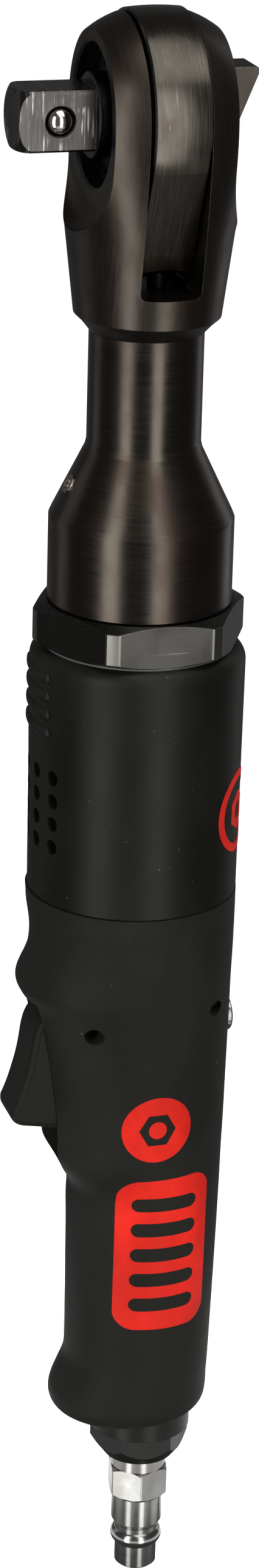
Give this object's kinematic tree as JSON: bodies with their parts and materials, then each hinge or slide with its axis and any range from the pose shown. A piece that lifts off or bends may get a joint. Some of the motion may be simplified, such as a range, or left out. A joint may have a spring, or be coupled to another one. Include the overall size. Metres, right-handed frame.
{
  "type": "air ratchet",
  "caption": "Straight pneumatic ratchet wrench with a square drive across its yoke head, a reversing knob, a finger throttle lever and an air plug at the foot.",
  "frame": {"origin": "centre of the square drive at its shoulder, where a socket's mouth seats", "axes": "-X along the square drive, out of the head; +Z along the tool from the air plug to the head; the throttle lever is on the -X side"},
  "size_m": [0.0545, 0.0474, 0.3709],
  "materials": {
    "head_steel": "brushed gunmetal",
    "yoke_steel": "brushed gunmetal",
    "spindle_steel": "ground, burnished dark",
    "knob_steel": "burnished dark",
    "ball_steel": "polished",
    "plate_steel": "black oxide",
    "nut_steel": "black oxide, flats worn bright",
    "bearing_steel": "ground",
    "gear_steel": "hobbed",
    "spring_steel": "drawn wire",
    "fitting_steel": "plated",
    "casting": "cast and anodised dark",
    "sleeve_black": "fine matt",
    "handle_black": "fine matt",
    "lever_black": "fine matt",
    "red_inlay": "satin",
    "bushing_black": "satin black",
    "plug_steel": "satin zinc",
    "bronze": "sintered",
    "seal_rubber": "matt",
    "felt": "felted",
    "vane_resin": "resin fibre"
  },
  "bodies": {
    "housing": {"head_housing": "head_steel", "cover_plate": "plate_steel", "retaining_ring": "plate_steel", "grease_fitting": "fitting_steel", "ring_gear": "gear_steel", "gear_plate": "bearing_steel", "needle_bearing": "bearing_steel", "carrier_bearing": "bearing_steel", "front_end_plate": "casting", "rear_end_plate": "casting", "cylinder": "gear_steel", "front_bearing": "bearing_steel", "rear_bearing": "bearing_steel", "cylinder_pin": "bearing_steel", "motor_housing": "casting", "silencer": "felt", "clamp_nut": "nut_steel", "grip_sleeve": "sleeve_black", "handle": "handle_black", "lever_pin": "plate_steel", "cross_pin": "plate_steel", "valve_bushing": "bronze", "valve_seal": "seal_rubber", "valve_spring": "spring_steel", "valve_cap": "plug_steel", "inlet_bushing": "bushing_black", "inlet_screen": "plug_steel", "sealing_ring": "plug_steel", "air_plug": "plug_steel", "side_badge": "red_inlay", "round_badge": "red_inlay", "panel_badge": "red_inlay"},
    "yoke": {"yoke": "yoke_steel"},
    "anvil": {"anvil": "spindle_steel", "pawl_pin": "bearing_steel", "ball_spring": "spring_steel", "thrust_washer": "bearing_steel"},
    "ball": {"detent_ball": "ball_steel"},
    "reverse": {"reverse_knob": "knob_steel", "pawl_plunger": "bearing_steel"},
    "pawl": {"pawl": "gear_steel"},
    "crank": {"crankshaft": "plate_steel", "drive_bushing": "plate_steel", "planet_pins": "bearing_steel"},
    "planet_1": {"planet_1": "gear_steel"},
    "planet_2": {"planet_2": "gear_steel"},
    "planet_3": {"planet_3": "gear_steel"},
    "rotor": {"rotor": "gear_steel", "vanes": "vane_resin"},
    "lever": {"throttle_lever": "lever_black"},
    "valve": {"valve_stem": "bearing_steel"}
  },
  "joints": [
    {"name": "yoke_swing", "type": "hinge", "parent": "housing", "child": "yoke", "pos_m": [0.014, 0, 0], "axis": [1, 0, 0], "range_deg": [-4.1, 4.1]},
    {"name": "anvil_spin", "type": "hinge", "parent": "housing", "child": "anvil", "pos_m": [0.014, 0, 0], "axis": [1, 0, 0], "continuous": true},
    {"name": "ball_press", "type": "slide", "parent": "anvil", "child": "ball", "axis": [0, 1, 0], "range_m": [0, 0.0009], "stiffness_N_per_m": 1000, "springref_m": -0.001},
    {"name": "reverse_turn", "type": "hinge", "parent": "anvil", "child": "reverse", "pos_m": [0.014, 0, 0], "axis": [1, 0, 0], "range_deg": [-25, 25]},
    {"name": "pawl_rock", "type": "hinge", "parent": "anvil", "child": "pawl", "pos_m": [0.014, 0, 0.0094], "axis": [1, 0, 0], "range_deg": [-8, 8]},
    {"name": "crank_spin", "type": "hinge", "parent": "housing", "child": "crank", "pos_m": [0.014, 0, -0.06], "axis": [0, 0, 1], "continuous": true},
    {"name": "planet_1_spin", "type": "hinge", "parent": "crank", "child": "planet_1", "pos_m": [0.0236, 0, -0.097], "axis": [0, 0, 1], "continuous": true},
    {"name": "planet_2_spin", "type": "hinge", "parent": "crank", "child": "planet_2", "pos_m": [0.0092, 0.00831, -0.097], "axis": [0, 0, 1], "continuous": true},
    {"name": "planet_3_spin", "type": "hinge", "parent": "crank", "child": "planet_3", "pos_m": [0.0092, -0.00831, -0.097], "axis": [0, 0, 1], "continuous": true},
    {"name": "rotor_spin", "type": "hinge", "parent": "housing", "child": "rotor", "pos_m": [0.014, 0, -0.146], "axis": [0, 0, 1], "continuous": true},
    {"name": "lever_press", "type": "hinge", "parent": "housing", "child": "lever", "pos_m": [0.0012, 0, -0.2018], "axis": [0, -1, 0], "range_deg": [0, 10], "stiffness_Nm_per_rad": 0.8, "springref_deg": -11.46},
    {"name": "valve_slide", "type": "slide", "parent": "housing", "child": "valve", "axis": [1, 0, 0], "range_m": [0, 0.00095]}
  ],
  "couplings": [
    {"joint": "pawl_rock", "follows": "reverse_turn", "ratio": -0.32},
    {"joint": "planet_1_spin", "follows": "crank_spin", "ratio": -3},
    {"joint": "planet_2_spin", "follows": "crank_spin", "ratio": -3},
    {"joint": "planet_3_spin", "follows": "crank_spin", "ratio": -3},
    {"joint": "rotor_spin", "follows": "crank_spin", "ratio": 4},
    {"joint": "valve_slide", "follows": "lever_press", "m_per_rad": 0.0052}
  ]
}
